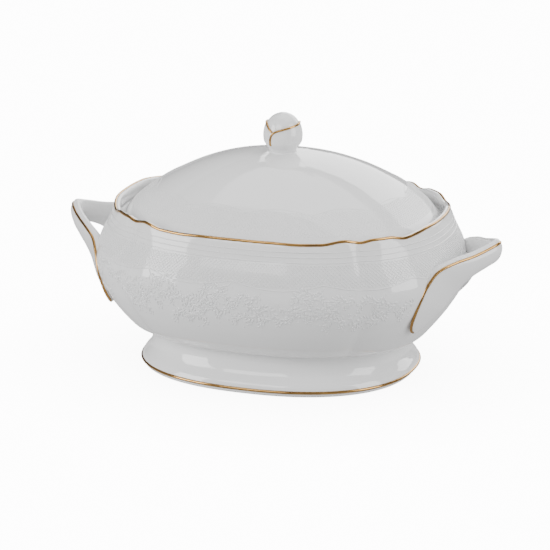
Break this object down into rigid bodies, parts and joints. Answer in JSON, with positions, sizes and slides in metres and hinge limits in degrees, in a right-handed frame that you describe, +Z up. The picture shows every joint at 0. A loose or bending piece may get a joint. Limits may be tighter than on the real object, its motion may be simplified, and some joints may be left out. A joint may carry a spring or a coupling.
{
  "type": "soup tureen",
  "caption": "Lidded oval soup tureen with scalloped rim, flared foot, wishbone handles and a lift-off domed lid with a rosebud knob.",
  "frame": {"origin": "centre of the foot's resting plane", "axes": "+X along the length towards a handle, +Y across, +Z up"},
  "size_m": [0.3457, 0.239, 0.1961],
  "materials": {
    "porcelain": "clear gloss glaze over white porcelain",
    "gilding": "burnished fired gold line"
  },
  "bodies": {
    "bowl_assembly": {"bowl": "porcelain", "foot": "porcelain", "handle_left": "porcelain", "handle_right": "porcelain", "rim_gilding": "gilding", "foot_gilding": "gilding", "handle_left_gilding": "gilding", "handle_right_gilding": "gilding"},
    "lid_assembly": {"lid": "porcelain", "knob": "porcelain"}
  },
  "joints": [
    {"name": "lid_lift", "type": "slide", "parent": "bowl_assembly", "child": "lid_assembly", "axis": [0, 0, 1], "range_m": [0, 0.15]}
  ]
}
